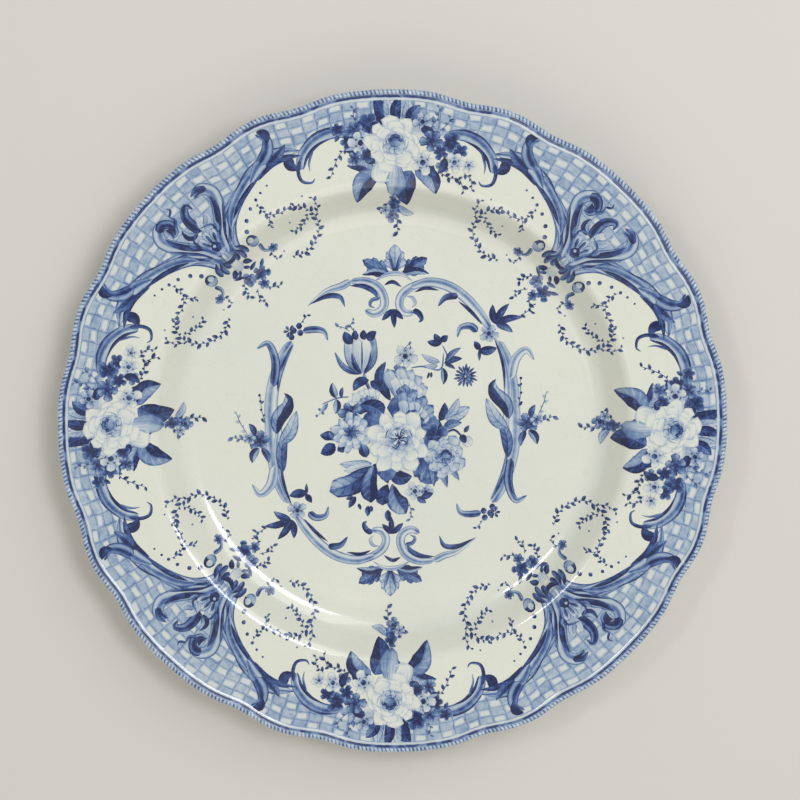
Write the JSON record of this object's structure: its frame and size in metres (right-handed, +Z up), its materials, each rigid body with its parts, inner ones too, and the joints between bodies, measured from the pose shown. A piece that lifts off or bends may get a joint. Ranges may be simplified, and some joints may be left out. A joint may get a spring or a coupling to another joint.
{
  "type": "dinner plate",
  "caption": "Round china dinner plate with a scalloped edge, a deep cavetto, a foot ring and a printed floral border and centre.",
  "frame": {"origin": "on the standing surface, under the middle of the plate", "axes": "+Z up out of the eating face; +X and +Y through the middle of two border bouquets, with +Y towards the crest of the centre frame"},
  "size_m": [0.2666, 0.2666, 0.0252],
  "materials": {
    "fired_clay": "fine matt, bare only under the foot ring",
    "clear_glaze": "glossy, faintly crazed",
    "deep_cobalt_ink": "printed under the glaze, dark tone",
    "mid_cobalt_ink": "printed under the glaze, middle tone",
    "pale_cobalt_ink": "printed under the glaze, light tone"
  },
  "bodies": {
    "root": {"biscuit_body": "fired_clay", "face_glaze": "clear_glaze", "lip_glaze": "clear_glaze", "back_glaze": "clear_glaze", "foot_well_glaze": "clear_glaze", "well_bouquet_print": "deep_cobalt_ink", "well_frame_print": "mid_cobalt_ink", "rim_basketweave_print": "pale_cobalt_ink", "edge_line_print": "deep_cobalt_ink", "rim_bouquet_print_e": "deep_cobalt_ink", "rim_bouquet_print_n": "deep_cobalt_ink", "rim_bouquet_print_w": "deep_cobalt_ink", "rim_bouquet_print_s": "deep_cobalt_ink", "rim_scroll_print_ne": "mid_cobalt_ink", "rim_scroll_print_nw": "mid_cobalt_ink", "rim_scroll_print_sw": "mid_cobalt_ink", "rim_scroll_print_se": "mid_cobalt_ink"}
  },
  "joints": []
}
